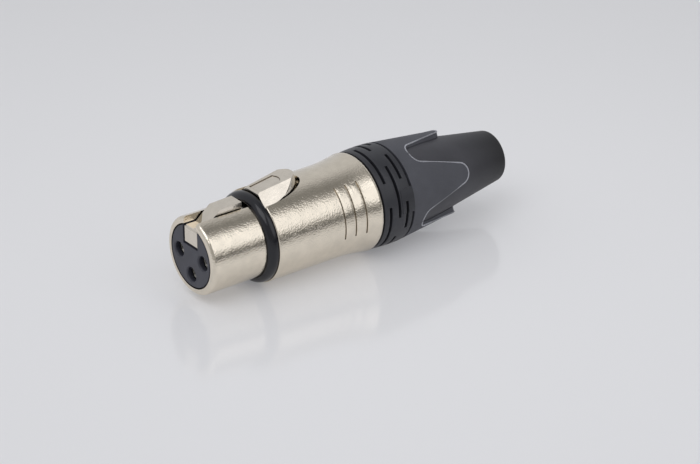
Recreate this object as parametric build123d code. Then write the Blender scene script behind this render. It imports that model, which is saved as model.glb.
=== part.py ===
from build123d import *
import math
import os

# A three-pole cable socket with a push latch, a black front ring, a slotted rear ring and a soft cable sleeve.
# Its axis lies along X. The mating face is at x = 0, the cable leaves towards +X and the latch is on top (+Z).
# Angles about the axis are counted in degrees from the top towards -Y. All sizes are in millimetres.

# Die-cast housing: a nose that enters the mating connector, then a wider body
nose_radius = 7.95
nose_wall = 1.32
nose_length = 12.3
nose_edge_round = 0.8
body_step = 1.55
body_length = 25.0
body_edge_chamfer = 0.15
body_wall = 1.4
body_straight_length = 16.7
body_flare_length = 7.3
body_flare_height = 0.72
body_rear_round = 0.5
insert_stop_depth = 1.7
nut_thread_length = 6.3
nut_thread_wall = 1.0
key_slot_half_width = 2.05
key_slot_floor_height = 5.0

# Grip grooves on both sides of the housing, behind the latch
groove_count = 3
groove_first_offset = 15.8
groove_spacing = 2.55
groove_width = 0.32
groove_depth = 0.22
groove_start_angle = 36.0
groove_sweep_angle = 66.0

# Front ring, pushed over the nose against the housing's shoulder
front_ring_length = 2.0
front_ring_lip = 0.2
front_ring_crest_offset = 0.9
front_ring_crest_height = 1.15
front_ring_rear_drop = 0.3
front_ring_clearance = 0.05

# Latch lever: a block in the insert's notch, an arm with a hook, and a thumb tongue behind the front ring
latch_front_setback = 0.15
latch_block_half_width = 2.2
latch_block_length = 3.15
latch_block_floor = 2.35
latch_block_top = 5.75
latch_block_edge = 0.2
latch_pivot_x = 1.9
latch_pivot_height = 3.7
latch_half_width = 1.75
latch_nose_height = 6.1
latch_ramp_start_x = 2.6
latch_ramp_end_x = 5.8
hook_front_height = 0.85
hook_rear_height = 1.05
hook_end_x = 10.9
hook_undercut = 0.2
arm_top_height = 7.35
arm_floor_front_x = 5.0
arm_floor_front_height = 5.2
tongue_gap_to_ring = 0.2
tongue_length = 10.2
tongue_half_width = 4.6
tongue_floor_height = 6.2
tongue_draft_height = 8.9
tongue_draft_rise = 3.3
tongue_draft_inset = 1.0
tongue_front_height = 9.6
tongue_lip_length = 0.4
tongue_lip_rise = 0.31
tongue_slope_angle = 8.9
tongue_end_round = 1.0
facet_front_half_width = 1.93
facet_rear_half_width = 2.2
facet_rear_distance = 7.36
facet_foot_distance = 3.16
facet_foot_half_width = 3.9
facet_foot_height = 8.6
pad_length = 5.4
latch_travel = 2.6
pad_half_width = 1.45
pad_bulge = 0.55
pad_depth = 0.18
tail_half_width = 1.7
tail_length = 1.7
tail_height = 1.4
tongue_rear_clearance = 0.75
tongue_side_clearance = 0.25

# Latch pin and its leaf spring
pin_radius = 0.6
pin_half_length = 4.95
pin_running_clearance = 0.05
spring_thickness = 0.25
spring_half_width = 1.6
spring_rear_setback = 2.0
spring_bend_radius = 0.475
spring_lower_leg = 5.8
spring_upper_leg = 5.2
spring_upper_angle = 18.0

# Contact insert
insert_clearance = 0.05
insert_rear_setback = 1.7
insert_flange_length = 1.55
insert_flange_clearance = 0.1
insert_lead_length = 1.2
insert_lead_drop = 0.25
insert_notch_side_clearance = 0.2
insert_notch_floor_clearance = 0.3
insert_notch_length = 4.2
insert_flat_height = 3.3

# Contacts on their pin circle; the first is on the right as the mating face is seen
contact_circle_radius = 3.96
contact_angles = [90.0, -90.0, 180.0]
face_hole_radius = 1.45
face_hole_depth = 1.2
face_hole_chamfer = 0.25
contact_barrel_radius = 1.9
contact_barrel_bore = 1.5
contact_barrel_setback = 1.5
contact_bore_depth = 11.4
contact_clearance = 0.05
contact_front_gap = 0.1
contact_neck_radius = 1.35
contact_neck_length = 1.4
solder_cup_radius = 1.6
solder_cup_bore = 1.05
solder_cup_length = 5.6
solder_cup_floor = 0.9
solder_cup_opening = 3.0
cage_inner_radius = 1.25
cage_wall = 0.16
cage_collar = 0.22
cage_collar_length = 1.1
cage_length = 9.5
cage_setback = 0.3
cage_slot_count = 4
cage_slot_width = 0.3

# Ground contact strip between the insert and the housing
ground_angle = 225.0
ground_strip_thickness = 0.3
ground_strip_width = 2.0
ground_strip_clearance = 0.1
ground_groove_depth = 0.68
ground_start_x = 5.5
ground_bow_length = 6.0
ground_bow_height = 0.2
ground_tail_length = 1.8
ground_tail_drop = 1.6

# Cable clamp: a ring with four sprung jaws that the nut's cone closes on the cable
clamp_start_x = 29.0
clamp_ring_length = 5.0
clamp_ring_wall = 1.2
clamp_radial_clearance = 0.2
clamp_jaw_length = 16.5
clamp_jaw_wall = 1.7
clamp_cone_length = 5.5
clamp_cone_drop = 1.1
clamp_grip_wall = 1.6
clamp_slot_count = 4
clamp_slot_width = 1.2
clamp_slot_margin = 2.0
clamp_key_width = 1.2
clamp_key_height = 0.4
clamp_key_clearance = 0.12
clamp_keyway_length = 7.0

# Slotted rear ring on the nut's spigot
rear_ring_gap = 0.1
rear_ring_length = 7.25
rear_ring_front_drop = 0.1
rear_ring_crown_rise = 0.14
rear_ring_rear_rise = 0.03
rear_ring_clearance = 0.1
ring_slot_offsets = [1.4, 3.55, 5.4]
ring_slot_starts = [-11.0, 32.0, 17.0]
ring_slot_sweeps = [62.0, 62.0, 34.0]
ring_slot_counts = [4, 4, 6]
ring_slot_width = 0.62
ring_slot_depth = 1.0
ring_notch_width = 0.5
ring_notch_start = -28.0
ring_notch_sweep = 90.0
ring_notch_count = 3
ring_tab_offset = 4.2
ring_tab_height = 0.14
ring_tab_start = 63.0
ring_tab_sweep = 28.0

# Gland nut: a threaded spigot and a skirt that ends in four petals
nut_gap = 0.1
nut_spigot_clearance = 0.1
nut_spigot_wall = 1.1
nut_spigot_setback = 0.3
nut_thread_depth = 0.35
nut_collar_overlap = 0.3
nut_skirt_length = 15.6
nut_valley_length = 3.15
nut_core_length = 4.75
nut_sleeve_seat = 2.3
nut_sleeve_wall = 0.78
nut_petal_thickness = 1.26
nut_cone_clearance = 0.3
petal_count = 4
petal_angle = 69.0
petal_tip_half_width = 1.68
petal_root_half_width = 5.35
petal_round = 2.2
petal_reach = 7.6

# Soft cable sleeve, moulded under and between the petals
overall_length = 75.0
sleeve_end_drop = 3.98
sleeve_end_round = 0.8
sleeve_bore_clearance = 0.2
sleeve_fit_gap = 0.05

# Radii, widths and heights that follow from the sizes above
nose_bore_radius = nose_radius - nose_wall
body_radius = nose_radius + body_step
body_bore_radius = body_radius - body_wall
body_rear_radius = body_radius + body_flare_height
nut_thread_bore_radius = body_radius - nut_thread_wall
insert_radius = nose_bore_radius - insert_clearance
ground_groove_floor = insert_radius - ground_groove_depth
insert_notch_half_width = latch_block_half_width + insert_notch_side_clearance
insert_notch_floor_height = latch_block_floor - insert_notch_floor_clearance
rear_ring_front_radius = body_rear_radius - rear_ring_front_drop
rear_ring_crown_radius = body_rear_radius + rear_ring_crown_rise
rear_ring_rear_radius = body_rear_radius + rear_ring_rear_rise
nut_shoulder_radius = body_rear_radius
nut_spigot_radius = nut_thread_bore_radius - nut_spigot_clearance
nut_thread_root_radius = nut_spigot_radius - nut_thread_depth
nut_spigot_bore = nut_spigot_radius - nut_spigot_wall
nut_core_radius = nut_spigot_bore
clamp_ring_radius = body_bore_radius - clamp_radial_clearance
clamp_ring_bore = clamp_ring_radius - clamp_ring_wall
clamp_jaw_radius = nut_spigot_bore - nut_cone_clearance
clamp_jaw_bore = clamp_jaw_radius - clamp_jaw_wall
clamp_tip_radius = clamp_jaw_radius - clamp_cone_drop
clamp_grip_radius = clamp_tip_radius - clamp_grip_wall
sleeve_root_radius = nut_shoulder_radius - nut_sleeve_wall
sleeve_end_radius = sleeve_root_radius - sleeve_end_drop
sleeve_bore = clamp_grip_radius - sleeve_bore_clearance

# Places along the axis that follow from the sizes above
shoulder_x = nose_length + front_ring_length
body_end_x = shoulder_x + body_length
insert_stop_x = shoulder_x + insert_stop_depth
latch_block_end_x = latch_front_setback + latch_block_length
thread_start_x = body_end_x - nut_thread_length
flare_start_x = shoulder_x + body_straight_length
flare_end_x = flare_start_x + body_flare_length
tongue_start_x = shoulder_x + tongue_gap_to_ring
tongue_top_x = tongue_start_x + tongue_lip_length
tongue_top_height = tongue_front_height + tongue_lip_rise
tongue_end_x = tongue_start_x + tongue_length
insert_length = tongue_end_x - insert_rear_setback
barrel_start_x = face_hole_depth + contact_front_gap
barrel_end_x = insert_length - contact_barrel_setback
spring_bend_x = tongue_end_x - spring_rear_setback - spring_lower_leg
clamp_jaw_start_x = clamp_start_x + clamp_ring_length
clamp_end_x = clamp_jaw_start_x + clamp_jaw_length
ring_start_x = body_end_x + rear_ring_gap
ring_end_x = ring_start_x + rear_ring_length
nut_shoulder_x = ring_end_x + nut_gap
nut_tip_x = nut_shoulder_x + nut_skirt_length
nut_valley_x = nut_shoulder_x + nut_valley_length
nut_core_end_x = nut_shoulder_x + nut_core_length
sleeve_start_x = nut_shoulder_x + nut_sleeve_seat
sleeve_round_x = overall_length - sleeve_end_round
sleeve_taper = sleeve_end_drop / (sleeve_round_x - sleeve_start_x)

# Room beyond a surface that a cutting shape takes, so that it cuts right through
overcut = 1.0


def turned(*edges):
    """A solid of revolution about the plug's axis, from outline edges drawn as (x, radius)."""
    outline = Curve() + list(edges)
    return revolve(make_face(outline), axis=Axis.X)


def turned_polygon(*points):
    """A solid of revolution about the plug's axis, from corners given as (x, radius)."""
    return revolve(make_face(Polyline(*points, close=True)), axis=Axis.X)


def ring_stretch(x, width, inner, outer, start_angle, sweep_angle):
    """A stretch of a ring about the plug's axis, for a groove, a slot or a raised tab."""
    face = make_face(
        Polyline(
            (x - width / 2, inner),
            (x + width / 2, inner),
            (x + width / 2, outer),
            (x - width / 2, outer),
            close=True,
        )
    )
    arc = revolve(face, axis=Axis.X, revolution_arc=sweep_angle)
    return Rot(90 + start_angle, 0, 0) * arc


def block(x_low, x_high, y_low, y_high, z_low, z_high):
    """A box between two corners."""
    size = (x_high - x_low, y_high - y_low, z_high - z_low)
    return Pos(x_low, y_low, z_low) * Box(*size, align=(Align.MIN, Align.MIN, Align.MIN))


def rod(x_low, x_high, radius):
    """A round bar along the plug's axis."""
    bar = Cylinder(radius, x_high - x_low, align=(Align.CENTER, Align.CENTER, Align.MIN))
    return Pos(x_low, 0, 0) * Rot(0, 90, 0) * bar


def side_extrusion(face, half_width):
    """A flat outline drawn as (x, z), thickened equally to both sides of the middle plane."""
    return extrude(Plane.XZ * face, half_width, both=True)


def at_angle(shape, angle):
    """Turns a shape that was made at the top about the plug's axis."""
    return Rot(angle, 0, 0) * shape


def flare_radius_at(x):
    """The housing's outer radius, which grows on an arc tangent to the straight body."""
    run = max(0.0, x - flare_start_x)
    arc_radius = (body_flare_length**2 + body_flare_height**2) / (2 * body_flare_height)
    return body_radius + arc_radius - math.sqrt(arc_radius**2 - run**2)


def sleeve_radius_at(x):
    """The outer radius of the tapered cable sleeve."""
    return sleeve_end_radius + sleeve_taper * (sleeve_round_x - x)


def housing_shell():
    """The turned form of the housing: rounded nose, shoulder, straight body and flared rear."""
    flare_end = (flare_end_x, body_rear_radius)
    nose_round = TangentArc((0, nose_radius - nose_edge_round), (nose_edge_round, nose_radius), tangent=(0, 1))
    edge_start = (shoulder_x, body_radius - body_edge_chamfer)
    edge_end = (shoulder_x + body_edge_chamfer, body_radius)
    flare = TangentArc((flare_start_x, body_radius), flare_end, tangent=(1, 0))
    rear_point = (body_end_x, body_rear_radius - body_rear_round)
    rear_round = TangentArc(flare_end, rear_point, tangent=flare % 1)
    inside = Polyline(
        rear_point,
        (body_end_x, nut_thread_bore_radius),
        (thread_start_x, nut_thread_bore_radius),
        (thread_start_x, body_bore_radius),
        (insert_stop_x, body_bore_radius),
        (insert_stop_x, nose_bore_radius),
        (0, nose_bore_radius),
        (0, nose_radius - nose_edge_round),
    )
    return turned(
        nose_round,
        Line((nose_edge_round, nose_radius), (shoulder_x, nose_radius)),
        Polyline((shoulder_x, nose_radius), edge_start, edge_end, (flare_start_x, body_radius)),
        flare,
        rear_round,
        inside,
    )


def latch_opening():
    """The opening in the housing's top for the thumb tongue, larger than the tongue by its clearances."""
    long_radius = tongue_length + tongue_rear_clearance + tongue_gap_to_ring
    short_radius = tongue_half_width + tongue_side_clearance
    top = 2 * body_radius
    plan = Ellipse(long_radius, short_radius)
    column = Pos(shoulder_x, 0, tongue_floor_height - latch_travel) * extrude(plan, top)
    return column & block(shoulder_x, body_end_x, -body_radius, body_radius, 0, 2 * top)


def grip_grooves():
    """Fine grooves round part of one side of the housing."""
    grooves = []
    for index in range(groove_count):
        x = shoulder_x + groove_first_offset + index * groove_spacing
        floor = flare_radius_at(x) - groove_depth
        top = flare_radius_at(x) + overcut
        grooves.append(ring_stretch(x, groove_width, floor, top, groove_start_angle, groove_sweep_angle))
    return grooves


def clamp_keyways():
    """Two grooves inside the housing that keep the cable clamp from turning."""
    half = clamp_key_width / 2 + clamp_key_clearance
    reach = body_bore_radius + clamp_key_height
    slot = block(thread_start_x - clamp_keyway_length, thread_start_x + overcut, -half, half, 0, reach)
    return [at_angle(slot, 90), at_angle(slot, -90)]


def housing():
    """Nose and body in one casting, with the key slot, latch opening, grip grooves and inner keyways."""
    shell = housing_shell()
    key_slot = block(
        -overcut,
        insert_stop_x + overcut,
        -key_slot_half_width,
        key_slot_half_width,
        key_slot_floor_height,
        2 * body_radius,
    )
    grooves = grip_grooves()
    far_grooves = [mirror(groove, about=Plane.XZ) for groove in grooves]
    return shell - key_slot - latch_opening() - grooves - far_grooves - clamp_keyways()


def front_ring():
    """A ring with a rounded outside that fills the corner between nose and shoulder."""
    bore = nose_radius + front_ring_clearance
    front = (nose_length, bore + front_ring_lip)
    crest = (nose_length + front_ring_crest_offset, bore + front_ring_crest_height)
    rear = (shoulder_x, body_radius - front_ring_rear_drop)
    return turned(
        ThreePointArc(front, crest, rear),
        Polyline(rear, (shoulder_x, bore), (nose_length, bore), front),
    )


def latch_block():
    """The latch's wide front with softened edges round its face. The pin passes through it."""
    body = block(
        latch_front_setback,
        latch_block_end_x,
        -latch_block_half_width,
        latch_block_half_width,
        latch_block_floor,
        latch_block_top,
    )
    face = body.faces().sort_by(Axis.X)[0]
    return chamfer(face.edges(), latch_block_edge)


def latch_arm():
    """The narrower arm in the key slot: ramp, hook and a low stretch under the front ring."""
    start_x = latch_front_setback + latch_block_edge
    outline = Polyline(
        (start_x, latch_pivot_height),
        (start_x, latch_nose_height),
        (latch_ramp_start_x, latch_nose_height),
        (latch_ramp_end_x, nose_radius + hook_front_height),
        (hook_end_x, nose_radius + hook_rear_height),
        (hook_end_x - hook_undercut, arm_top_height),
        (tongue_top_x + overcut, arm_top_height),
        (tongue_top_x + overcut, tongue_floor_height),
        (arm_floor_front_x, arm_floor_front_height),
        (latch_block_end_x, latch_pivot_height),
        close=True,
    )
    return side_extrusion(make_face(outline), latch_half_width)


def tongue_block():
    """The thumb tongue's plan: a half ellipse, straight below the housing's surface and drafted above it."""
    plan = Ellipse(tongue_length, tongue_half_width)
    inner_plan = Ellipse(tongue_length - tongue_draft_inset, tongue_half_width - tongue_draft_inset)
    foot = Pos(tongue_start_x, 0, tongue_floor_height)
    break_line = Pos(tongue_start_x, 0, tongue_draft_height)
    top_line = Pos(tongue_start_x, 0, tongue_draft_height + tongue_draft_rise)
    lower = foot * extrude(plan, tongue_draft_height - tongue_floor_height)
    upper = loft([break_line * plan, top_line * inner_plan])
    rear_half = block(tongue_start_x, body_end_x, -body_radius, body_radius, 0, 2 * body_radius)
    return (lower + upper) & rear_half


def tongue_side_profile():
    """The thumb tongue seen from the side: low at the ring, rising towards the rear, with a rounded end."""
    slope = math.tan(math.radians(tongue_slope_angle))
    end_run = tongue_end_x - tongue_end_round - tongue_top_x
    end_height = tongue_top_height + slope * end_run
    corner_start = (tongue_end_x - tongue_end_round, end_height)
    corner_end = (tongue_end_x, end_height - tongue_end_round)
    end_round = TangentArc(corner_start, corner_end, tangent=(1, slope))
    rest = Polyline(
        corner_end,
        (tongue_end_x, tongue_floor_height),
        (tongue_start_x, tongue_floor_height),
        (tongue_start_x, tongue_front_height),
        (tongue_top_x, tongue_top_height),
        corner_start,
    )
    return side_extrusion(make_face(Curve() + [end_round, rest]), body_radius)


def tongue_facet():
    """The waste beyond the flat facet that runs down one side of the tongue."""
    slope = math.tan(math.radians(tongue_slope_angle))
    front = Vector(tongue_top_x, -facet_front_half_width, tongue_top_height)
    rear_z = tongue_top_height + slope * facet_rear_distance
    rear = Vector(tongue_start_x + facet_rear_distance, -facet_rear_half_width, rear_z)
    foot = Vector(tongue_start_x + facet_foot_distance, -facet_foot_half_width, facet_foot_height)
    normal = (foot - front).cross(rear - front)
    if normal.Z < 0:
        normal = normal * -1
    face_plane = Plane(origin=front, x_dir=(rear - front), z_dir=normal)
    size = 4 * body_radius
    waste = Box(size, size, body_radius, align=(Align.CENTER, Align.CENTER, Align.MIN))
    return face_plane * waste


def thumb_pad():
    """The shallow recess on the tongue's sloping top, with a bowed rear end."""
    angle = math.radians(tongue_slope_angle)
    top_plane = Plane(
        origin=(tongue_top_x, 0, tongue_top_height),
        x_dir=(math.cos(angle), 0, math.sin(angle)),
        z_dir=(-math.sin(angle), 0, math.cos(angle)),
    )
    near = (pad_length, -pad_half_width)
    far = (pad_length, pad_half_width)
    bow = ThreePointArc(near, (pad_length + pad_bulge, 0), far)
    sides = Polyline(far, (0, pad_half_width), (0, -pad_half_width), near)
    return extrude(top_plane * make_face(Curve() + [bow, sides]), pad_depth, both=True)


def latch_tail():
    """The lip behind the tongue that stays under the housing's wall and stops the latch."""
    return block(
        tongue_end_x - tongue_end_round,
        tongue_end_x + tail_length,
        -tail_half_width,
        tail_half_width,
        tongue_floor_height,
        tongue_floor_height + tail_height,
    )


def latch_bore():
    """The hole for the latch pin."""
    bar = Cylinder(pin_radius + pin_running_clearance, 4 * latch_block_half_width)
    return Pos(latch_pivot_x, 0, latch_pivot_height) * Rot(90, 0, 0) * bar


def latch_lever():
    """Block, arm, hook, thumb tongue and tail in one casting."""
    facet = tongue_facet()
    tongue = (tongue_block() & tongue_side_profile()) - facet - mirror(facet, about=Plane.XZ)
    return (tongue - thumb_pad()) + latch_arm() + latch_block() + latch_tail() - latch_bore()


def latch_pin():
    """A steel pin across the insert's notch, on which the latch turns."""
    return Pos(latch_pivot_x, 0, latch_pivot_height) * Rot(90, 0, 0) * Cylinder(pin_radius, 2 * pin_half_length)


def latch_spring():
    """A bent leaf spring: one leg lies on the insert, the other presses the tongue up."""
    middle_z = insert_flat_height + spring_thickness / 2 + spring_bend_radius
    lower_start = (spring_bend_x + spring_lower_leg, middle_z - spring_bend_radius)
    lower_end = (spring_bend_x, middle_z - spring_bend_radius)
    angle = math.radians(spring_upper_angle)
    upper_start = (
        spring_bend_x - spring_bend_radius * math.sin(angle),
        middle_z + spring_bend_radius * math.cos(angle),
    )
    upper_end = (
        upper_start[0] + spring_upper_leg * math.cos(angle),
        upper_start[1] + spring_upper_leg * math.sin(angle),
    )
    bend = ThreePointArc(lower_end, (spring_bend_x - spring_bend_radius, middle_z), upper_start)
    path = Curve() + [Line(lower_start, lower_end), bend, Line(upper_start, upper_end)]
    return side_extrusion(trace(path, line_width=spring_thickness), spring_half_width)


def contact_place(angle):
    """The offset of a contact's axis from the plug's axis."""
    turn = math.radians(angle)
    return Pos(0, -contact_circle_radius * math.sin(turn), contact_circle_radius * math.cos(turn))


def contact_hole():
    """The stepped hole in the insert for one contact, made on the plug's axis."""
    wide = rod(face_hole_depth, insert_length + overcut, contact_barrel_radius + contact_clearance)
    narrow = rod(-overcut, face_hole_depth + overcut, face_hole_radius)
    mouth = turned_polygon(
        (-face_hole_chamfer, 0),
        (-face_hole_chamfer, face_hole_radius + 2 * face_hole_chamfer),
        (face_hole_chamfer, face_hole_radius),
        (face_hole_chamfer, 0),
    )
    return wide + narrow + mouth


def insert():
    """The moulded carrier for the contacts, with a notch and a flat top for the latch."""
    flange_start = insert_stop_x + insert_clearance
    flange_radius = body_bore_radius - insert_flange_clearance
    lead = rod(0, insert_lead_length, insert_radius - insert_lead_drop)
    flange = rod(flange_start, flange_start + insert_flange_length, flange_radius)
    body = lead + rod(insert_lead_length, insert_length, insert_radius) + flange
    notch = block(
        -overcut,
        insert_notch_length,
        -insert_notch_half_width,
        insert_notch_half_width,
        insert_notch_floor_height,
        nose_radius,
    )
    channel = block(
        insert_notch_length - overcut,
        shoulder_x,
        -key_slot_half_width,
        key_slot_half_width,
        insert_flat_height,
        nose_radius,
    )
    flat = block(
        shoulder_x,
        insert_length + overcut,
        -body_radius,
        body_radius,
        insert_flat_height,
        2 * body_radius,
    )
    pin_hole = Cylinder(pin_radius + insert_clearance, 2 * nose_radius)
    pin_hole = Pos(latch_pivot_x, 0, latch_pivot_height) * Rot(90, 0, 0) * pin_hole
    groove_half = ground_strip_width / 2 + ground_strip_clearance
    groove = block(
        ground_start_x - ground_strip_clearance,
        insert_length + overcut,
        -groove_half,
        groove_half,
        ground_groove_floor,
        body_radius,
    )
    result = body - notch - channel - flat - pin_hole - at_angle(groove, ground_angle)
    for angle in contact_angles:
        result = result - contact_place(angle) * contact_hole()
    return result


def contact(angle):
    """A turned contact: bored barrel, neck and solder cup with a scooped side."""
    cup_start = barrel_end_x + contact_neck_length
    cup_end = cup_start + solder_cup_length
    bore_end = barrel_start_x + contact_bore_depth
    body = turned_polygon(
        (barrel_start_x, contact_barrel_bore),
        (barrel_start_x, contact_barrel_radius),
        (barrel_end_x, contact_barrel_radius),
        (barrel_end_x, contact_neck_radius),
        (cup_start, contact_neck_radius),
        (cup_start, solder_cup_radius),
        (cup_end, solder_cup_radius),
        (cup_end, solder_cup_bore),
        (cup_start + solder_cup_floor, solder_cup_bore),
        (cup_start + solder_cup_floor, 0),
        (bore_end, 0),
        (bore_end, contact_barrel_bore),
    )
    scoop = block(
        cup_end - solder_cup_opening,
        cup_end + overcut,
        -solder_cup_radius,
        solder_cup_radius,
        solder_cup_bore / 3,
        2 * solder_cup_radius,
    )
    return contact_place(angle) * (body - scoop)


def contact_cage(angle):
    """The slotted spring sleeve inside a contact, which grips the mating pin."""
    start = barrel_start_x + cage_setback
    end = start + cage_length
    waist = cage_inner_radius + cage_wall
    collar = cage_inner_radius + cage_collar
    sleeve = turned_polygon(
        (start, cage_inner_radius),
        (start, collar),
        (start + cage_collar_length, collar),
        (start + cage_collar_length, waist),
        (end - cage_collar_length, waist),
        (end - cage_collar_length, collar),
        (end, collar),
        (end, cage_inner_radius),
    )
    half = cage_slot_width / 2
    slot = block(start + cage_collar_length, end - cage_collar_length, -half, half, 0, contact_barrel_radius)
    for index in range(cage_slot_count):
        sleeve = sleeve - at_angle(slot, 45 + index * 360 / cage_slot_count)
    return contact_place(angle) * sleeve


def ground_contact():
    """A bent strip in the insert's groove: a bow that touches the nose's bore and a tail at the solder cups."""
    z = ground_groove_floor + ground_strip_clearance + ground_strip_thickness / 2
    bow_end = ground_start_x + ground_bow_length
    bow = ThreePointArc(
        (ground_start_x, z),
        (ground_start_x + ground_bow_length / 2, z + ground_bow_height),
        (bow_end, z),
    )
    tail_start = insert_length + ground_strip_clearance
    run = Polyline((bow_end, z), (tail_start, z), (tail_start + ground_tail_length, z - ground_tail_drop))
    face = trace(Curve() + [bow, run], line_width=ground_strip_thickness)
    return at_angle(side_extrusion(face, ground_strip_width / 2), ground_angle)


def clamp():
    """The cable clamp: a keyed ring and four jaws with a conical outside and a narrower grip at their ends."""
    cone_start = clamp_end_x - clamp_cone_length
    body = turned_polygon(
        (clamp_start_x, clamp_ring_bore),
        (clamp_start_x, clamp_ring_radius),
        (clamp_jaw_start_x, clamp_ring_radius),
        (clamp_jaw_start_x, clamp_jaw_radius),
        (cone_start, clamp_jaw_radius),
        (clamp_end_x, clamp_tip_radius),
        (clamp_end_x, clamp_grip_radius),
        (cone_start, clamp_grip_radius),
        (cone_start - clamp_slot_margin / 2, clamp_jaw_bore),
        (clamp_jaw_start_x, clamp_jaw_bore),
        (clamp_jaw_start_x - clamp_slot_margin / 2, clamp_ring_bore),
    )
    half = clamp_slot_width / 2
    slot = block(clamp_jaw_start_x + clamp_slot_margin, clamp_end_x + overcut, -half, half, 0, body_radius)
    for index in range(clamp_slot_count):
        body = body - at_angle(slot, 45 + index * 360 / clamp_slot_count)
    key_half = clamp_key_width / 2
    key_foot = clamp_ring_bore + clamp_key_height
    key_top = body_bore_radius + clamp_key_height - clamp_radial_clearance
    key = block(clamp_start_x, clamp_jaw_start_x, -key_half, key_half, key_foot, key_top)
    return body + at_angle(key, 90) + at_angle(key, -90)


def rear_ring():
    """A crowned ring with staggered rows of slots, notches in its rear edge and one raised tab."""
    bore = nut_spigot_radius + rear_ring_clearance
    front = (ring_start_x, rear_ring_front_radius)
    rear = (ring_end_x, rear_ring_rear_radius)
    crown = ((ring_start_x + ring_end_x) / 2, rear_ring_crown_radius)
    floor = rear_ring_crown_radius - ring_slot_depth
    top = rear_ring_crown_radius + overcut
    body = turned(
        ThreePointArc(front, crown, rear),
        Polyline(rear, (ring_end_x, bore), (ring_start_x, bore), front),
    )
    tab_length = rear_ring_length - ring_tab_offset
    tab_x = ring_end_x - tab_length / 2
    tab_top = rear_ring_crown_radius + ring_tab_height
    body = body + ring_stretch(tab_x, tab_length, floor, tab_top, ring_tab_start, ring_tab_sweep)
    rows = zip(ring_slot_offsets, ring_slot_starts, ring_slot_sweeps, ring_slot_counts)
    for offset, start, sweep, count in rows:
        x = ring_start_x + offset
        for index in range(count):
            turn = start + index * 360 / count
            body = body - ring_stretch(x, ring_slot_width, floor, top, turn, sweep)
    for index in range(ring_notch_count):
        turn = ring_notch_start + index * 360 / ring_notch_count
        body = body - ring_stretch(ring_end_x, 2 * ring_notch_width, floor, top, turn, ring_notch_sweep)
    return body


def petal_prism():
    """One petal's outline, seen along its own radius and drawn straight outwards from the axis."""
    corners = Polyline(
        (nut_tip_x, -petal_tip_half_width),
        (nut_tip_x, petal_tip_half_width),
        (nut_valley_x, petal_root_half_width),
        (nut_valley_x, petal_reach),
        (sleeve_start_x, petal_reach),
        (sleeve_start_x, -petal_reach),
        (nut_valley_x, -petal_reach),
        (nut_valley_x, -petal_root_half_width),
        close=True,
    )
    face = make_face(corners)
    rounded = [v for v in face.vertices() if abs(v.Y) < petal_reach - petal_round]
    outline = fillet(rounded, petal_round)
    return extrude(outline, nut_shoulder_radius + overcut)


def gland_nut():
    """Spigot, inner cone and tapered skirt, cut away between four round-ended petals that lie on the sleeve."""
    spigot_start = clamp_jaw_start_x + nut_spigot_setback
    collar_start = body_end_x - nut_collar_overlap
    tip_radius = sleeve_radius_at(nut_tip_x) + nut_petal_thickness
    cone_start = clamp_end_x - clamp_cone_length
    cone_slope = (clamp_jaw_radius - clamp_tip_radius) / clamp_cone_length
    cone_end_radius = clamp_jaw_radius + nut_cone_clearance - cone_slope * (nut_core_end_x - cone_start)
    body = turned_polygon(
        (spigot_start, nut_spigot_bore),
        (spigot_start, nut_thread_root_radius),
        (collar_start, nut_thread_root_radius),
        (collar_start, nut_spigot_radius),
        (nut_shoulder_x, nut_spigot_radius),
        (nut_shoulder_x, nut_shoulder_radius),
        (nut_tip_x, tip_radius),
        (nut_tip_x, sleeve_radius_at(nut_tip_x) + sleeve_fit_gap),
        (sleeve_start_x, sleeve_radius_at(sleeve_start_x) + sleeve_fit_gap),
        (sleeve_start_x, nut_core_radius),
        (nut_core_end_x, nut_core_radius),
        (nut_core_end_x, cone_end_radius),
        (cone_start, nut_spigot_bore),
    )
    outside = nut_shoulder_radius + overcut
    waste = rod(sleeve_start_x + overcut / 2, nut_tip_x + overcut, outside)
    waste = waste - rod(sleeve_start_x, nut_tip_x + 2 * overcut, nut_core_radius)
    prism = petal_prism()
    for index in range(petal_count):
        waste = waste - at_angle(prism, petal_angle + index * 360 / petal_count)
    return body - waste


def kink_sleeve():
    """The tapered soft sleeve round the cable, with a rounded end."""
    front_radius = sleeve_radius_at(sleeve_start_x + sleeve_fit_gap)
    core_radius = nut_core_radius + sleeve_fit_gap
    core_end = nut_core_end_x + sleeve_fit_gap
    end_start = (sleeve_round_x, sleeve_end_radius)
    end_stop = (overall_length, sleeve_end_radius - sleeve_end_round)
    end_round = TangentArc(end_start, end_stop, tangent=(1, -sleeve_taper))
    outline = Polyline(
        end_stop,
        (overall_length, sleeve_bore),
        (core_end, sleeve_bore),
        (core_end, core_radius),
        (sleeve_start_x + sleeve_fit_gap, core_radius),
        (sleeve_start_x + sleeve_fit_gap, front_radius),
        end_start,
    )
    return turned(end_round, outline)


def save(shape, node):
    """Writes one piece under its node's name."""
    export_step(shape, f"parts/{node}.step")


os.makedirs("parts", exist_ok=True)
save(housing(), "housing")
save(front_ring(), "front_ring")
save(latch_lever(), "latch_lever")
save(latch_pin(), "latch_pin")
save(latch_spring(), "latch_spring")
save(insert(), "insert")
for number, contact_angle in enumerate(contact_angles, start=1):
    save(contact(contact_angle), f"contact_{number}")
    save(contact_cage(contact_angle), f"contact_cage_{number}")
save(ground_contact(), "ground_contact")
save(clamp(), "cable_clamp")
save(rear_ring(), "rear_ring")
save(gland_nut(), "gland_nut")
save(kink_sleeve(), "kink_sleeve")
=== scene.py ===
import math

import bpy
from mathutils import Matrix, Vector


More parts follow.
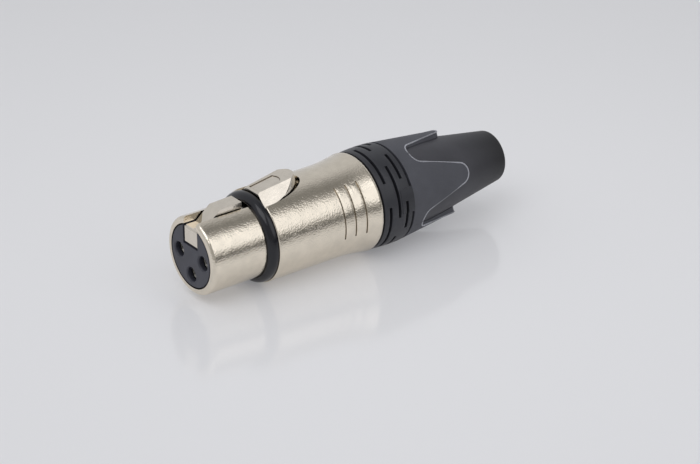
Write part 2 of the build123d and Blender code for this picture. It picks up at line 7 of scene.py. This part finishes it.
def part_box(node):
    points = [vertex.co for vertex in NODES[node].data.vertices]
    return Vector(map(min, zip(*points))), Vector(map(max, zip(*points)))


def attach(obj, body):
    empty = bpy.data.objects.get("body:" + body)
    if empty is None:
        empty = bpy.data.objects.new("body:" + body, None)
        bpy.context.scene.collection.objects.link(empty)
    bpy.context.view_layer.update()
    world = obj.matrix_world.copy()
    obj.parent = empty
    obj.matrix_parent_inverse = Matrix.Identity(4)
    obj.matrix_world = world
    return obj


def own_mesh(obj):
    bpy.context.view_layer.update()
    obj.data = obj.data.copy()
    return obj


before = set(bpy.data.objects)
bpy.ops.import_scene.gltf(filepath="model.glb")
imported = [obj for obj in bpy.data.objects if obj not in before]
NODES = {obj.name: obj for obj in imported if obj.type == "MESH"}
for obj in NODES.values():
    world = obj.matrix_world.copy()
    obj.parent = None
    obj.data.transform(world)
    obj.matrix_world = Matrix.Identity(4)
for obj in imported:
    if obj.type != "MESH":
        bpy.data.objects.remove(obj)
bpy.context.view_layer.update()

bl_info = {
    "name": "Round Cable Socket",
    "version": (1, 0, 0),
    "blender": (4, 5, 0),
    "location": "3D View > Sidebar > Cable Socket",
    "description": "Finishes a latching round cable socket and sets it on a pale table",
    "category": "Object",
}

MM = 0.001

# Where the solids lie that the settings below are worked out from, in metres
NUT_START, NUT_END = (corner[0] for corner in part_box("gland_nut"))
NUT_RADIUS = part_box("gland_nut")[1][1]
HOUSING_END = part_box("housing")[1][0]
FRONT_RING_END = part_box("front_ring")[1][0]
SLEEVE_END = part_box("kink_sleeve")[1][0]

# Sockets of a Mix node that mixes colours
MIX_SHARE = 0
MIX_FIRST = 6
MIX_SECOND = 7
MIX_RESULT = 2

# Painted shade darkens the plate this near to an inner corner, which is further than on a real one, so that
# it shows
PAINTED_SHADE_REACH = 0.4 * MM

# Size of the plate's soft unevenness and of a plastic's drift in colour, counted in grains
PEEL_GRAINS = 6
DRIFT_GRAINS = 25

# The wave texture repeats after this length at a scale of 1
WAVE_PERIOD = math.pi / 10

# The nut's radius at the petals' valleys over its shoulder's, a hair small so that edges don't cross
VALLEY_SHARE = 0.965

# Share of the petal bead's radius that is sunk into the nut
BEAD_SINK = 0.4

# The right-hand thread on the nut's spigot: where it lies along the plug, its pitch and its radii
THREAD_START = NUT_START + 0.2 * MM
THREAD_END = HOUSING_END - 0.5 * MM
THREAD_RUNOUT = 0.5 * MM
THREAD_PITCH = 1.25 * MM
THREAD_ROOT = 8.02 * MM
THREAD_CREST = 8.38 * MM
THREAD_HALF_FLAT = 0.12 * MM
THREAD_HALF_FOOT = 0.45 * MM

# Dark places of the room, seen from the plug: direction, stretch, inner and outer reach, shade.
# The first lies above the cable's end, and the second is a level strip in front of it.
DARK_PLACES = (
    ((0.54, -0.10, 0.835), (1.0, 1.0, 1.0), 0.05, 0.62, "#868686"),
    ((0.52, -0.85, -0.03), (0.6, 0.6, 4.0), 0.25, 0.75, "#5C5C5C"),
)

# The plug's middle, and the soft lamps: direction from it, distance, shape, size and power in watts
LAMP_AIM = (0.038, 0.0, 0.0)
LAMPS = {
    "softbox_right": ((0.295, -0.75, 0.592), 0.6, "DISK", 0.59, 0.3),
    "softbox_right_middle": ((0.298, -0.755, 0.584), 0.6, "DISK", 0.46, 0.25),
    "softbox_lever": ((0.25, -0.45, 0.86), 0.7, "DISK", 0.28, 0.076),
    "softbox_left": ((-0.5, -0.2, 0.84), 0.7, "SQUARE", 0.5, 1.1),
}


def linear(hex_colour):
    """Turns an sRGB hex colour such as #C8C0B0 into the linear colour that a shader socket takes."""
    digits = hex_colour.lstrip("#")
    channels = [int(digits[i : i + 2], 16) / 255 for i in (0, 2, 4)]
    return [c / 12.92 if c <= 0.04045 else ((c + 0.055) / 1.055) ** 2.4 for c in channels] + [1.0]


def lighter(colour, factor):
    """A linear colour made lighter by a factor, in the same hue."""
    return [channel * factor for channel in colour[:3]] + [1.0]


def add_node(tree, kind, links=None, stops=(), **settings):
    """Adds a node, sets its properties, sockets and ramp stops, and links its inputs to other outputs."""
    made = tree.nodes.new(kind)
    for name, value in settings.items():
        if hasattr(made, name):
            setattr(made, name, value)
        else:
            made.inputs[name.replace("_", " ")].default_value = value
    for index, (position, colour) in enumerate(stops):
        made.color_ramp.elements[index].position = position
        made.color_ramp.elements[index].color = colour
    for name, socket in (links or {}).items():
        tree.links.new(socket, made.inputs[name])
    return made


def new_material(name):
    """An empty node material with its output, and the object coordinates that its patterns use."""
    material = bpy.data.materials.new(name)
    material.use_nodes = True
    tree = material.node_tree
    tree.nodes.clear()
    place = add_node(tree, "ShaderNodeTexCoord").outputs["Object"]
    return material, tree, place


def close_material(tree, shader):
    """Links the shader to the material's output."""
    add_node(tree, "ShaderNodeOutputMaterial", {"Surface": shader.outputs["BSDF"]})


def plated_nickel(name, colour, corner_shade_colour, roughness, grain, grain_height, peel_height):
    """Nickel plate on a die casting. The plate follows the casting's fine grain, so wherever a bright
    reflection meets a dark one it breaks into tiny sparkling grains, and over a wider area it is softly
    uneven. Real grains are finer than these, which are as coarse as they need to be to show. Painted
    shade darkens the plate to the corner shade colour in inner corners, and outlines grooves and recesses."""
    material, tree, place = new_material(name)
    cast = add_node(
        tree, "ShaderNodeTexNoise", {"Vector": place}, Scale=1 / grain, Detail=1.0, Roughness=0.7
    )
    peel = add_node(
        tree, "ShaderNodeTexNoise", {"Vector": place}, Scale=1 / (PEEL_GRAINS * grain), Detail=2.0
    )
    uneven = add_node(
        tree, "ShaderNodeValToRGB", {"Fac": peel.outputs["Fac"]},
        stops=((0.3, colour), (0.7, lighter(colour, 1.1))),
    )
    # Painted shade: ambient occlusion darkens the plate's colour in inner corners; polished is the share
    # left unshaded
    corner = add_node(tree, "ShaderNodeAmbientOcclusion", samples=8, Distance=PAINTED_SHADE_REACH)
    polished = add_node(
        tree, "ShaderNodeMapRange", {"Value": corner.outputs["AO"]}, From_Min=0.55, From_Max=0.9
    )
    plate = add_node(
        tree, "ShaderNodeMix",
        {MIX_SHARE: polished.outputs["Result"], MIX_SECOND: uneven.outputs["Color"]}, data_type="RGBA",
    )
    plate.inputs[MIX_FIRST].default_value = linear(corner_shade_colour)
    gloss = add_node(
        tree, "ShaderNodeMapRange", {"Value": cast.outputs["Fac"]}, From_Min=0.3, From_Max=0.7,
        To_Min=roughness * 0.85, To_Max=roughness * 1.15,
    )
    wide = add_node(tree, "ShaderNodeBump", {"Height": peel.outputs["Fac"]}, Distance=peel_height)
    fine = add_node(
        tree, "ShaderNodeBump", {"Height": cast.outputs["Fac"], "Normal": wide.outputs["Normal"]},
        Distance=grain_height,
    )
    inputs = {
        "Base Color": plate.outputs[MIX_RESULT],
        "Roughness": gloss.outputs["Result"],
        "Normal": fine.outputs["Normal"],
    }
    shader = add_node(tree, "ShaderNodeBsdfPrincipled", inputs, Metallic=1.0)
    close_material(tree, shader)
    return material


def moulded_plastic(name, colour, roughness, grain, grain_height, drift=1.4, end=None):
    """Injection-moulded plastic. The mould's fine erosion gives it an even, slightly dusty sheen, and the
    colour drifts a little where the melt cooled at another speed. The erosion is drawn coarser than the
    real one, so that it shows. An end, where one is given, has a start, a finish and a colour of painted
    shade, to which the plastic darkens from start to finish."""
    material, tree, place = new_material(name)
    erosion = add_node(
        tree, "ShaderNodeTexNoise", {"Vector": place}, Scale=1 / grain, Detail=4.0, Roughness=0.65
    )
    melt = add_node(
        tree, "ShaderNodeTexNoise", {"Vector": place}, Scale=1 / (DRIFT_GRAINS * grain), Detail=2.0
    )
    mixed = add_node(
        tree, "ShaderNodeMath", {0: erosion.outputs["Fac"], 1: melt.outputs["Fac"]},
        operation="MULTIPLY_ADD",
    )
    # The two noises' product is about a quarter, so this sum lies near the middle of the ramp
    mixed.inputs[2].default_value = 0.2
    drifting = add_node(
        tree, "ShaderNodeValToRGB", {"Fac": mixed.outputs["Value"]},
        stops=((0.3, colour), (0.62, lighter(colour, drift))),
    )
    surface = drifting.outputs["Color"]
    # Painted shade: along X the colour darkens towards the end's shade colour
    if end:
        start, finish, end_shade_colour = end
        along = add_node(tree, "ShaderNodeSeparateXYZ", {"Vector": place})
        near = add_node(
            tree, "ShaderNodeMapRange", {"Value": along.outputs["X"]}, From_Min=start, From_Max=finish
        )
        deep = add_node(
            tree, "ShaderNodeMix", {MIX_SHARE: near.outputs["Result"], MIX_FIRST: surface}, data_type="RGBA"
        )
        deep.inputs[MIX_SECOND].default_value = end_shade_colour
        surface = deep.outputs[MIX_RESULT]
    gloss = add_node(
        tree, "ShaderNodeMapRange", {"Value": erosion.outputs["Fac"]}, From_Min=0.3, From_Max=0.7,
        To_Min=roughness * 0.85, To_Max=roughness * 1.2,
    )
    bump = add_node(tree, "ShaderNodeBump", {"Height": erosion.outputs["Fac"]}, Distance=grain_height)
    inputs = {
        "Base Color": surface,
        "Roughness": gloss.outputs["Result"],
        "Normal": bump.outputs["Normal"],
    }
    shader = add_node(tree, "ShaderNodeBsdfPrincipled", inputs, IOR=1.5)
    close_material(tree, shader)
    return material


def turned_metal(name, hex_colour, roughness, line_spacing):
    """Lathe-turned or rolled metal. Fine lines round its axis stretch its highlights a little. Real lines
    are about 0.05 mm apart, and these are wider, so that they show."""
    material, tree, place = new_material(name)
    colour = linear(hex_colour)
    lines = add_node(
        tree, "ShaderNodeTexWave", {"Vector": place}, wave_type="BANDS", bands_direction="X",
        Scale=WAVE_PERIOD / line_spacing, Distortion=1.5, Detail=2.0,
    )
    blotch = add_node(tree, "ShaderNodeTexNoise", {"Vector": place}, Scale=1 / (1.2 * MM), Detail=3.0)
    uneven = add_node(
        tree, "ShaderNodeValToRGB", {"Fac": blotch.outputs["Fac"]},
        stops=((0.3, colour), (0.7, lighter(colour, 1.33))),
    )
    bump = add_node(tree, "ShaderNodeBump", {"Height": lines.outputs["Fac"]}, Distance=0.004 * MM)
    shader = add_node(
        tree, "ShaderNodeBsdfPrincipled",
        {"Base Color": uneven.outputs["Color"], "Normal": bump.outputs["Normal"]},
        Metallic=1.0, Roughness=roughness,
    )
    close_material(tree, shader)
    return material


def dress(node, material, edge=0.0):
    """Gives a CAD piece its finish, and rounds its sharp edges a little, so that they catch light."""
    piece = NODES[node]
    piece.data.materials.clear()
    piece.data.materials.append(material)
    if edge > 0:
        weld = piece.modifiers.new("weld", "WELD")
        weld.merge_threshold = 0.001 * MM
        bevel = piece.modifiers.new("edge", "BEVEL")
        bevel.width = edge
        bevel.segments = 2
        bevel.limit_method = "ANGLE"
        bevel.angle_limit = math.radians(30)
        normal = piece.modifiers.new("normal", "WEIGHTED_NORMAL")
        normal.keep_sharp = True
    return piece


def mesh_piece(name, vertices, faces, material, body):
    """A new mesh piece that rides on a body and takes a material slot with the given finish."""
    data = bpy.data.meshes.new(name)
    data.from_pydata([tuple(vertex) for vertex in vertices], [], faces)
    data.validate()
    data.shade_smooth()
    data.materials.append(material)
    piece = bpy.data.objects.new(name, data)
    bpy.context.scene.collection.objects.link(piece)
    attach(piece, body)
    return piece


def ring_point(x, radius, angle):
    """A point on a circle about the plug's axis. The angle is counted from the top towards -Y."""
    return (x, -radius * math.sin(angle), radius * math.cos(angle))


def length_setting(name, description, metres):
    """A length that a user may change."""
    return bpy.props.FloatProperty(
        name=name, description=description, default=metres, min=0.0, unit="LENGTH", precision=5
    )


def angle_setting(name, description, degrees):
    """An angle that a user may change."""
    return bpy.props.FloatProperty(
        name=name, description=description, default=math.radians(degrees), subtype="ANGLE"
    )


def place_setting(name, description, metres):
    """A point that a user may move."""
    return bpy.props.FloatVectorProperty(
        name=name, description=description, default=metres, subtype="TRANSLATION", unit="LENGTH",
        precision=5,
    )


def share_setting(name, description, share):
    """A share between 0 and 1 that a user may change."""
    return bpy.props.FloatProperty(
        name=name, description=description, default=share, min=0.0, max=1.0, subtype="FACTOR"
    )


def colour_setting(name, description, hex_colour):
    """A colour that a user may change."""
    return bpy.props.FloatVectorProperty(
        name=name, description=description, default=linear(hex_colour), size=4, min=0.0, max=1.0,
        subtype="COLOR",
    )


class CastingSettings(bpy.types.PropertyGroup):
    """The nickel-plated castings."""

    colour: colour_setting("Plate", "Colour of the housing's plate", "#DED5C5")
    lever_colour: colour_setting("Lever plate", "Colour of the lever's plate", "#DDD5C8")
    roughness: share_setting("Roughness", "Blur of the housing's reflections", 0.13)
    lever_roughness: share_setting("Lever roughness", "Blur of the lever's reflections", 0.15)
    grain: length_setting("Grain", "Size of the casting's grain under the plate", 0.34 * MM)
    grain_height: length_setting("Grain height", "Height of the casting's grain", 0.04 * MM)


class PlasticSettings(bpy.types.PropertyGroup):
    """The plastics that show from outside."""

    insert: colour_setting("Insert", "Colour of the carrier of the contacts", "#363740")
    front_ring: colour_setting("Front ring", "Colour of the glossy ring", "#0F1016")
    rear_ring: colour_setting("Rear ring", "Colour of the slotted ring", "#2B2C31")
    nut: colour_setting("Nut", "Colour of the nut and its petals", "#494A50")
    # The petals' edge colour is a painted highlight along the bead
    petal_edge: colour_setting("Petal edge", "Colour of the petals' rubbed edges", "#7C7D82")
    sleeve: colour_setting("Sleeve", "Colour of the sleeve between the petals", "#3C3C41")
    # Painted shade that darkens the sleeve towards its thin end
    sleeve_end_shade: colour_setting("Sleeve end", "Colour of the sleeve's thin end", "#1A1A1D")


class PetalSettings(bpy.types.PropertyGroup):
    """The nut's petals, as the solid has them."""

    skirt_length: length_setting("Skirt length", "From the shoulder to the petals' tips", 15.6 * MM)
    shoulder_radius: length_setting("Shoulder radius", "Outer radius at the shoulder", NUT_RADIUS)
    tip_radius: length_setting("Tip radius", "Outer radius at the petals' tips", 8.595 * MM)
    valley_length: length_setting("Valley", "From the shoulder to the valleys", 3.15 * MM)
    tip_half_width: length_setting("Tip width", "Half a petal's width at its tip", 1.68 * MM)
    root_half_width: length_setting("Root width", "Half a petal's width at its root", 5.35 * MM)
    corner: length_setting("Corner", "Rounding of the petals' corners", 2.2 * MM)
    angle: angle_setting("Angle", "Where the first petal's middle is, from the top", 69.0)
    count: bpy.props.IntProperty(name="Petals", description="Number of petals", default=4, min=1)
    edge_radius: length_setting("Edge bead", "Radius of the pale bead along the edges", 0.16 * MM)


class StageSettings(bpy.types.PropertyGroup):
    """Table, lamps and camera."""

    azimuth: angle_setting("Azimuth", "Camera's place round the plug", -37.45)
    elevation: angle_setting("Elevation", "Camera's height over the plug's level", 26.93)
    distance: length_setting("Distance", "From the camera to the point that it looks at", 0.48229)
    look_at: place_setting("Look at", "Point in the picture's middle", (0.03834, 0.0, -0.00662))
    lens: bpy.props.FloatProperty(
        name="Lens", description="Focal length in millimetres", default=123.43, min=1.0
    )
    tilt: angle_setting("Table tilt", "Slope of the table under the plug's two widest rings", 1.66)
    touch: place_setting(
        "Table touch", "Where the housing's front meets the table", (FRONT_RING_END, 0.0, -0.0095)
    )
    # Painted glow: the table gives off light of its own, brightest at the glow centre
    glow: share_setting("Glow", "Light that comes through the table where it is brightest", 0.2)
    glow_centre: place_setting("Glow centre", "Where the table is brightest", (0.04, 0.0, -0.01))


class SOCKET_OT_housing(bpy.types.Operator):
    """Finishes the die-cast housing"""

    bl_idname = "socket.housing"
    bl_label = "Housing"

    def execute(self, context):
        # Bright warm plate whose highlight has a sparkling edge, on zinc that came grainy from the die
        castings = context.scene.socket_castings
        # A39886 is the painted shade in the housing's grooves and inner corners
        plate = plated_nickel(
            "cast_zinc_nickel_plated", castings.colour, "#A39886", castings.roughness,
            castings.grain, castings.grain_height, peel_height=0.03 * MM,
        )
        dress("housing", plate, edge=0.08 * MM)
        return {"FINISHED"}


class SOCKET_OT_front_ring(bpy.types.Operator):
    """Finishes the black ring in front of the housing's shoulder"""

    bl_idname = "socket.front_ring"
    bl_label = "Front ring"

    def execute(self, context):
        # Deep black from a polished mould, so the lamps show in it as clear streaks
        nylon = moulded_plastic(
            "moulded_nylon_black", context.scene.socket_plastics.front_ring, roughness=0.17,
            grain=0.15 * MM, grain_height=0.002 * MM, drift=1.7,
        )
        dress("front_ring", nylon, edge=0.05 * MM)
        return {"FINISHED"}


class SOCKET_OT_latch(bpy.types.Operator):
    """Finishes the latch lever, its pin and its leaf spring"""

    bl_idname = "socket.latch"
    bl_label = "Latch"

    def execute(self, context):
        # The thumb keeps the lever smooth, so its flat facets mirror as whole planes; #4A4034 is strong
        # painted shade that outlines them in the inner corners
        castings = context.scene.socket_castings
        polished = plated_nickel(
            "cast_zinc_nickel_polished", castings.lever_colour, "#4A4034", castings.lever_roughness,
            castings.grain, grain_height=0.006 * MM, peel_height=0.02 * MM,
        )
        dress("latch_lever", polished, edge=0.1 * MM)
        # Ground steel is plain and bright, and rolled spring steel is darker and more blurred
        steel = turned_metal("ground_steel", "#9C9C9C", roughness=0.22, line_spacing=0.25 * MM)
        dress("latch_pin", steel, edge=0.05 * MM)
        spring_steel = turned_metal(
            "rolled_spring_steel", "#8C8C8C", roughness=0.3, line_spacing=0.314 * MM
        )
        spring = dress("latch_spring", spring_steel)
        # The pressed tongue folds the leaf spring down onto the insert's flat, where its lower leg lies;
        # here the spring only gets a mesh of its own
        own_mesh(spring)
        return {"FINISHED"}


class SOCKET_OT_insert(bpy.types.Operator):
    """Finishes the moulded carrier of the contacts"""

    bl_idname = "socket.insert"
    bl_label = "Insert"

    def execute(self, context):
        # Dark bluish grey with a satin face
        polyester = moulded_plastic(
            "moulded_pbt_dark_grey", context.scene.socket_plastics.insert, roughness=0.42,
            grain=0.12 * MM, grain_height=0.004 * MM,
        )
        dress("insert", polyester, edge=0.06 * MM)
        return {"FINISHED"}


class SOCKET_OT_contacts(bpy.types.Operator):
    """Finishes the contacts, their spring cages and the ground strip"""

    bl_idname = "socket.contacts"
    bl_label = "Contacts"

    def execute(self, context):
        # Silver plate on turned brass is pale and bright, and gives the small glints in the holes.
        # On the thin cages it is greyer, and tin on the strip is a little duller.
        brass = turned_metal(
            "turned_brass_silver_plated", "#C9C6BE", roughness=0.2, line_spacing=0.314 * MM
        )
        bronze = turned_metal(
            "rolled_bronze_silver_plated", "#8A8A8A", roughness=0.25, line_spacing=0.314 * MM
        )
        tinned = turned_metal("rolled_bronze_tinned", "#B9B8B4", roughness=0.32, line_spacing=0.377 * MM)
        for number in (1, 2, 3):
            dress(f"contact_{number}", brass, edge=0.05 * MM)
            dress(f"contact_cage_{number}", bronze)
        dress("ground_contact", tinned)
        return {"FINISHED"}


class SOCKET_OT_rear_parts(bpy.types.Operator):
    """Finishes the cable clamp, the slotted ring and the soft sleeve"""

    bl_idname = "socket.rear_parts"
    bl_label = "Clamp, ring and sleeve"

    def execute(self, context):
        plastics = context.scene.socket_plastics
        # Acetal is a middle grey with an even sheen
        acetal = moulded_plastic(
            "moulded_acetal_grey", linear("#5A5A5C"), roughness=0.5,
            grain=0.2 * MM, grain_height=0.006 * MM,
        )
        dress("cable_clamp", acetal, edge=0.08 * MM)
        # The ring is a satin near-black, lighter than the front ring
        nylon = moulded_plastic(
            "moulded_nylon_slot_ring", plastics.rear_ring, roughness=0.4,
            grain=0.15 * MM, grain_height=0.006 * MM,
        )
        dress("rear_ring", nylon, edge=0.08 * MM)
        # The soft sleeve is matt, and painted shade darkens it towards its thin end
        elastomer = moulded_plastic(
            "moulded_soft_elastomer", plastics.sleeve, roughness=0.5, grain=0.2 * MM,
            grain_height=0.015 * MM, end=(SLEEVE_END - 12 * MM, SLEEVE_END - MM, plastics.sleeve_end_shade),
        )
        dress("kink_sleeve", elastomer, edge=0.1 * MM)
        return {"FINISHED"}


def petal_outline(petals):
    """One petal's edge from valley to valley over its tip, as (x, sideways) points with round corners."""
    valley_x = NUT_END - petals.skirt_length + petals.valley_length
    valley_side = petals.shoulder_radius * VALLEY_SHARE * math.sin(math.pi / petals.count)
    half = [
        Vector((valley_x, valley_side)),
        Vector((valley_x, petals.root_half_width)),
        Vector((NUT_END, petals.tip_half_width)),
        Vector((NUT_END, 0)),
    ]
    corner_steps = 8
    points = [half[0]]
    for before, corner, after in zip(half, half[1:], half[2:]):
        to_before = (before - corner).normalized()
        to_after = (after - corner).normalized()
        half_angle = to_before.angle(to_after) / 2
        centre = corner + (to_before + to_after).normalized() * (petals.corner / math.sin(half_angle))
        reach = petals.corner / math.tan(half_angle)
        start = corner + to_before * reach - centre
        turn = (corner + to_after * reach - centre).angle_signed(start)
        for step in range(corner_steps + 1):
            spin = Matrix.Rotation(turn * step / corner_steps, 2)
            points.append(centre + spin @ start)
    points.append(half[-1])
    mirrored = [Vector((p.x, -p.y)) for p in reversed(points[:-1])]
    return points + mirrored


class SOCKET_OT_gland_nut(bpy.types.Operator):
    """Finishes the gland nut, with its thread and the pale bead along its petals' edges"""

    bl_idname = "socket.gland_nut"
    bl_label = "Gland nut"

    def execute(self, context):
        plastics = context.scene.socket_plastics
        # Glass fibres dull the nut's surface to a plain matt grey
        glass_nylon = moulded_plastic(
            "moulded_glass_nylon_grey", plastics.nut, roughness=0.62,
            grain=0.2 * MM, grain_height=0.012 * MM,
        )
        dress("gland_nut", glass_nylon, edge=0.1 * MM)
        # A pale bead along the petals' thin edges, whose colour is a painted highlight, brighter in some
        # places than in others
        highlighted = moulded_plastic(
            "painted_highlight_plastic_edge", plastics.petal_edge, roughness=0.5,
            grain=0.3 * MM, grain_height=0.02 * MM, drift=2.7,
        )
        self.petal_edges(context.scene.socket_petals, highlighted)
        self.thread(glass_nylon)
        return {"FINISHED"}

    def petal_edges(self, petals, material):
        """A fine closed bead that follows all petals' edges on the nut's surface."""
        path = []
        for index in range(petals.count):
            middle = petals.angle + index * 2 * math.pi / petals.count
            for x, side in petal_outline(petals):
                to_shoulder = (NUT_END - x) / petals.skirt_length
                radius = petals.tip_radius + to_shoulder * (petals.shoulder_radius - petals.tip_radius)
                angle = middle - math.asin(side / radius)
                path.append(Vector(ring_point(x, radius - petals.edge_radius * BEAD_SINK, angle)))
        sides = 6
        vertices, faces = [], []
        count = len(path)
        for index, point in enumerate(path):
            along = (path[(index + 1) % count] - path[index - 1]).normalized()
            out = Vector((0, point.y, point.z)).normalized()
            across = along.cross(out).normalized()
            for side in range(sides):
                angle = 2 * math.pi * side / sides
                offset = out * math.cos(angle) + across * math.sin(angle)
                vertices.append(point + offset * petals.edge_radius)
        for index in range(count):
            near, far = index * sides, (index + 1) % count * sides
            for side in range(sides):
                beside = (side + 1) % sides
                faces.append((near + side, near + beside, far + beside, far + side))
        mesh_piece("petal_edge_bead", vertices, faces, material, "nut")

    def thread(self, material):
        """The thread in front of the nut's collar: a ridge that winds round the spigot and fades out."""
        steps_per_turn = 72
        fade_steps = 12
        length = THREAD_END - THREAD_START - 2 * THREAD_RUNOUT
        count = int(length / THREAD_PITCH * steps_per_turn)
        profile = (
            (-THREAD_HALF_FOOT, THREAD_ROOT),
            (-THREAD_HALF_FLAT, THREAD_CREST),
            (THREAD_HALF_FLAT, THREAD_CREST),
            (THREAD_HALF_FOOT, THREAD_ROOT),
        )
        vertices, faces = [], []
        for index in range(count + 1):
            angle = -2 * math.pi * index / steps_per_turn
            x = THREAD_START + THREAD_RUNOUT + THREAD_PITCH * index / steps_per_turn
            fade = min(1.0, index / fade_steps, (count - index) / fade_steps)
            for dx, radius in profile:
                vertices.append(ring_point(x + dx, THREAD_ROOT + (radius - THREAD_ROOT) * fade, angle))
        width = len(profile)
        for index in range(count):
            near, far = index * width, (index + 1) * width
            for side in range(width):
                beside = (side + 1) % width
                faces.append((near + side, near + beside, far + beside, far + side))
        faces.append(tuple(range(width)))
        faces.append(tuple(reversed(range(count * width, (count + 1) * width))))
        mesh_piece("spigot_thread", vertices, faces, material, "nut")


class SOCKET_OT_stage(bpy.types.Operator):
    """Sets up the table, the soft lamps and the camera"""

    bl_idname = "socket.stage"
    bl_label = "Stage"

    def execute(self, context):
        stage = context.scene.socket_stage
        self.table(context.scene, stage)
        self.world(context.scene)
        self.lamps(context.scene)
        self.camera(context.scene, stage)
        context.scene.view_settings.view_transform = "Standard"
        return {"FINISHED"}

    def table(self, scene, stage):
        """A glossy table that glows with painted light, brightest near the plug, and touches the housing
        and the slotted ring.
        """
        half_side = 2.5
        fade_reach = 0.2
        slope = math.tan(stage.tilt)
        corners = []
        for x_side, y_side in ((-1, -1), (1, -1), (1, 1), (-1, 1)):
            x = x_side * half_side
            corners.append((x, y_side * half_side, stage.touch.z - (x - stage.touch.x) * slope))
        data = bpy.data.meshes.new("table")
        data.from_pydata(corners, [], [(0, 1, 2, 3)])
        # Polished acrylic mirrors the plug softly, and a painted glow, brightest near the plug and fading
        # away from it, keeps the shadow pale
        material, tree, place = new_material("table_white_acrylic")
        away = add_node(tree, "ShaderNodeVectorMath", {0: place}, operation="DISTANCE")
        away.inputs[1].default_value = stage.glow_centre
        glow = add_node(
            tree, "ShaderNodeMapRange", {"Value": away.outputs["Value"]}, From_Min=0.0, From_Max=fade_reach,
            To_Min=stage.glow, To_Max=stage.glow * 0.5,
        )
        shader = add_node(
            tree, "ShaderNodeBsdfPrincipled", {"Emission Strength": glow.outputs["Result"]},
            Base_Color=linear("#D9D9DA"), Emission_Color=linear("#FCFCFF"), Roughness=0.12, IOR=1.49,
        )
        close_material(tree, shader)
        data.materials.append(material)
        table = bpy.data.objects.new("table", data)
        scene.collection.objects.link(table)

    def world(self, scene):
        """A room as the plate mirrors it: a bright backdrop, a dimmer front and two dark places."""
        world = bpy.data.worlds.new("pale_room")
        world.use_nodes = True
        scene.world = world
        tree = world.node_tree
        tree.nodes.clear()
        place = add_node(tree, "ShaderNodeTexCoord").outputs["Generated"]
        parts = add_node(tree, "ShaderNodeSeparateXYZ", {"Vector": place})
        behind = add_node(
            tree, "ShaderNodeMapRange", {"Value": parts.outputs["Y"]}, From_Min=-0.5, From_Max=0.1
        )
        walls = add_node(
            tree, "ShaderNodeValToRGB", {"Fac": behind.outputs["Result"]},
            stops=((0.0, linear("#A8A8A8")), (1.0, linear("#CECFD2"))),
        )
        room = walls.outputs["Color"]
        for towards, stretch, near, far, shade in DARK_PLACES:
            spread = add_node(tree, "ShaderNodeVectorMath", {0: place}, operation="MULTIPLY")
            spread.inputs[1].default_value = stretch
            away = add_node(
                tree, "ShaderNodeVectorMath", {0: spread.outputs["Vector"]}, operation="DISTANCE"
            )
            away.inputs[1].default_value = [t * s for t, s in zip(towards, stretch)]
            open_part = add_node(
                tree, "ShaderNodeMapRange", {"Value": away.outputs["Value"]}, From_Min=near, From_Max=far,
                interpolation_type="SMOOTHSTEP",
            )
            mixed = add_node(
                tree, "ShaderNodeMix", {MIX_SHARE: open_part.outputs["Result"], MIX_SECOND: room},
                data_type="RGBA",
            )
            mixed.inputs[MIX_FIRST].default_value = linear(shade)
            room = mixed.outputs[MIX_RESULT]
        light = add_node(tree, "ShaderNodeBackground", {"Color": room}, Strength=1.0)
        add_node(tree, "ShaderNodeOutputWorld", {"Surface": light.outputs["Background"]})

    def lamps(self, scene):
        """A softbox on the right with a brighter middle gives the housing its highlight, a small one above
        brightens the lever's side, and one on the left lights the rest."""
        for name, (direction, distance, shape, size, power) in LAMPS.items():
            data = bpy.data.lights.new(name, "AREA")
            data.shape = shape
            data.size = size
            data.energy = power
            data.color = linear("#F9FAFF")[:3]
            lamp = bpy.data.objects.new(name, data)
            away = Vector(direction).normalized()
            lamp.location = Vector(LAMP_AIM) + away * distance
            lamp.rotation_mode = "QUATERNION"
            lamp.rotation_quaternion = away.to_track_quat("Z", "Y")
            scene.collection.objects.link(lamp)

    def camera(self, scene, stage):
        """The photograph's view: above and to the left of the mating face, from about half a metre."""
        right = Vector((math.cos(stage.azimuth), math.sin(stage.azimuth), 0))
        level = Vector((math.sin(stage.azimuth), -math.cos(stage.azimuth), 0))
        back = level * math.cos(stage.elevation) + Vector((0, 0, math.sin(stage.elevation)))
        up = back.cross(right)
        data = bpy.data.cameras.new("camera")
        data.sensor_width = 36
        data.lens = stage.lens
        data.clip_start = 0.01
        data.clip_end = 20
        camera = bpy.data.objects.new("camera", data)
        turn = Matrix((right, up, back)).transposed()
        camera.matrix_world = Matrix.Translation(stage.look_at + back * stage.distance) @ turn.to_4x4()
        scene.collection.objects.link(camera)
        scene.camera = camera


OPERATORS = (
    SOCKET_OT_housing,
    SOCKET_OT_front_ring,
    SOCKET_OT_latch,
    SOCKET_OT_insert,
    SOCKET_OT_contacts,
    SOCKET_OT_rear_parts,
    SOCKET_OT_gland_nut,
    SOCKET_OT_stage,
)

SETTINGS = {
    "socket_castings": CastingSettings,
    "socket_plastics": PlasticSettings,
    "socket_petals": PetalSettings,
    "socket_stage": StageSettings,
}


class SOCKET_PT_panel(bpy.types.Panel):
    """Lists the settings and the steps that finish the socket"""

    bl_idname = "SOCKET_PT_panel"
    bl_label = "Cable Socket"
    bl_space_type = "VIEW_3D"
    bl_region_type = "UI"
    bl_category = "Cable Socket"

    def draw(self, context):
        for group, settings in SETTINGS.items():
            box = self.layout.box()
            for name in settings.__annotations__:
                box.prop(getattr(context.scene, group), name)
        for operator in OPERATORS:
            self.layout.operator(operator.bl_idname)


CLASSES = (*SETTINGS.values(), *OPERATORS, SOCKET_PT_panel)


def register():
    for cls in CLASSES:
        bpy.utils.register_class(cls)
    for group, settings in SETTINGS.items():
        setattr(bpy.types.Scene, group, bpy.props.PointerProperty(type=settings))


def unregister():
    for group in SETTINGS:
        delattr(bpy.types.Scene, group)
    for cls in reversed(CLASSES):
        bpy.utils.unregister_class(cls)


def main():
    register()
    for operator in OPERATORS:
        group, name = operator.bl_idname.split(".")
        getattr(getattr(bpy.ops, group), name)()


if __name__ == "__main__":
    main()
